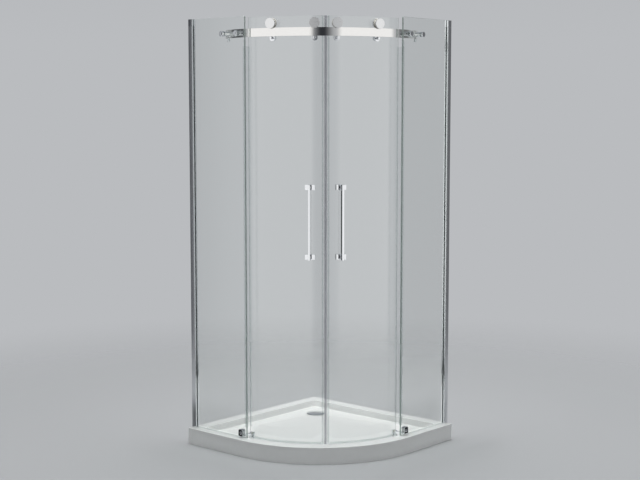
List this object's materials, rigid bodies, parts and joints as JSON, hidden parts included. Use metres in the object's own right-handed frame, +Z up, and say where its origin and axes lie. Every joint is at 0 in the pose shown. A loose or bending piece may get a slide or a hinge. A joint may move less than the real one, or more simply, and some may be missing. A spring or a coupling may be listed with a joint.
{
  "type": "shower cabin",
  "caption": "Quadrant shower cabin: bowed white tray, fixed glass panels in chrome wall profiles, and curved glass doors that slide on rollers along a bowed rail.",
  "frame": {"origin": "on the floor, at the middle of the tray's square footprint", "axes": "+Z up; the walls stand at -X and +Y, and the bow faces between +X and -Y"},
  "size_m": [0.9, 0.9, 2.012],
  "materials": {
    "acrylic": "glossy white acrylic",
    "plywood": "sealed plywood",
    "steel": "zinc-plated steel",
    "black_plastic": "moulded black plastic",
    "waste_plastic": "moulded white polypropylene",
    "rubber": "black rubber",
    "chrome": "polished chrome plate",
    "profile": "bright polished aluminium",
    "rail": "polished stainless steel",
    "clear_pvc": "clear soft PVC",
    "magnet_pvc": "grey magnetic strip in clear PVC",
    "nylon": "white nylon",
    "glass": "clear tempered glass"
  },
  "bodies": {
    "cabin": {"shower_tray": "acrylic", "tray_base_board": "plywood", "tray_foot_studs": "steel", "tray_foot_nuts": "steel", "tray_foot_pads": "black_plastic", "waste_body": "waste_plastic", "waste_gaskets": "rubber", "waste_backnut": "waste_plastic", "drain_strainer": "waste_plastic", "left_wall_channel": "profile", "right_wall_channel": "profile", "left_glass_channel": "profile", "right_glass_channel": "profile", "glazing_gaskets": "clear_pvc", "profile_caps": "chrome", "profile_screws": "chrome", "left_fixed_glass": "glass", "right_fixed_glass": "glass", "fixed_edge_seals": "clear_pvc", "fixed_bottom_seals": "clear_pvc", "top_rail": "rail", "rail_standoff_caps": "chrome", "rail_standoff_spacers": "chrome", "rail_standoff_screws": "steel", "rail_standoff_gaskets": "clear_pvc", "rail_stop_pins": "chrome", "rail_stop_sleeves": "clear_pvc", "guide_clamp_plates": "chrome", "guide_arms": "chrome", "guide_bolts": "chrome", "guide_sliders": "nylon"},
    "left_door": {"left_door_glass": "glass", "left_front_seal": "magnet_pvc", "left_rear_seal": "clear_pvc", "left_bottom_seal": "clear_pvc", "left_roller_axles": "steel", "left_roller_caps": "chrome", "left_roller_nuts": "chrome", "left_door_gaskets": "clear_pvc", "left_anti_lift_pins": "chrome", "left_handle": "chrome", "left_handle_backplates": "chrome", "left_handle_bolts": "chrome"},
    "left_front_wheel": {"left_front_wheel": "nylon"},
    "left_rear_wheel": {"left_rear_wheel": "nylon"},
    "right_door": {"right_door_glass": "glass", "right_front_seal": "magnet_pvc", "right_rear_seal": "clear_pvc", "right_bottom_seal": "clear_pvc", "right_roller_axles": "steel", "right_roller_caps": "chrome", "right_roller_nuts": "chrome", "right_door_gaskets": "clear_pvc", "right_anti_lift_pins": "chrome", "right_handle": "chrome", "right_handle_backplates": "chrome", "right_handle_bolts": "chrome"},
    "right_front_wheel": {"right_front_wheel": "nylon"},
    "right_rear_wheel": {"right_rear_wheel": "nylon"},
    "drain_cover": {"drain_cover": "chrome"}
  },
  "joints": [
    {"name": "left_door_slide", "type": "hinge", "parent": "cabin", "child": "left_door", "pos_m": [-0.1, 0.1, 0], "axis": [0, 0, -1], "range_deg": [0, 30]},
    {"name": "left_front_wheel_roll", "type": "hinge", "parent": "left_door", "child": "left_front_wheel", "pos_m": [0.2084, -0.27949, 1.9764], "axis": [0.6307, -0.776, 0], "range_deg": [0, 775]},
    {"name": "left_rear_wheel_roll", "type": "hinge", "parent": "left_door", "child": "left_rear_wheel", "pos_m": [0.03232, -0.37076, 1.9764], "axis": [0.2706, -0.9627, 0], "range_deg": [0, 775]},
    {"name": "right_door_slide", "type": "hinge", "parent": "cabin", "child": "right_door", "pos_m": [-0.1, 0.1, 0], "axis": [0, 0, 1], "range_deg": [0, 30]},
    {"name": "right_front_wheel_roll", "type": "hinge", "parent": "right_door", "child": "right_front_wheel", "pos_m": [0.27949, -0.2084, 1.9764], "axis": [-0.776, 0.6307, 0], "range_deg": [0, 775]},
    {"name": "right_rear_wheel_roll", "type": "hinge", "parent": "right_door", "child": "right_rear_wheel", "pos_m": [0.37076, -0.03232, 1.9764], "axis": [-0.9627, 0.2706, 0], "range_deg": [0, 775]},
    {"name": "drain_cover_lift", "type": "slide", "parent": "cabin", "child": "drain_cover", "axis": [0, 0, 1], "range_m": [0, 0.05]}
  ],
  "couplings": [
    {"joint": "left_front_wheel_roll", "follows": "left_door_slide", "ratio": 25.737},
    {"joint": "left_rear_wheel_roll", "follows": "left_door_slide", "ratio": 25.737},
    {"joint": "right_front_wheel_roll", "follows": "right_door_slide", "ratio": 25.737},
    {"joint": "right_rear_wheel_roll", "follows": "right_door_slide", "ratio": 25.737}
  ]
}
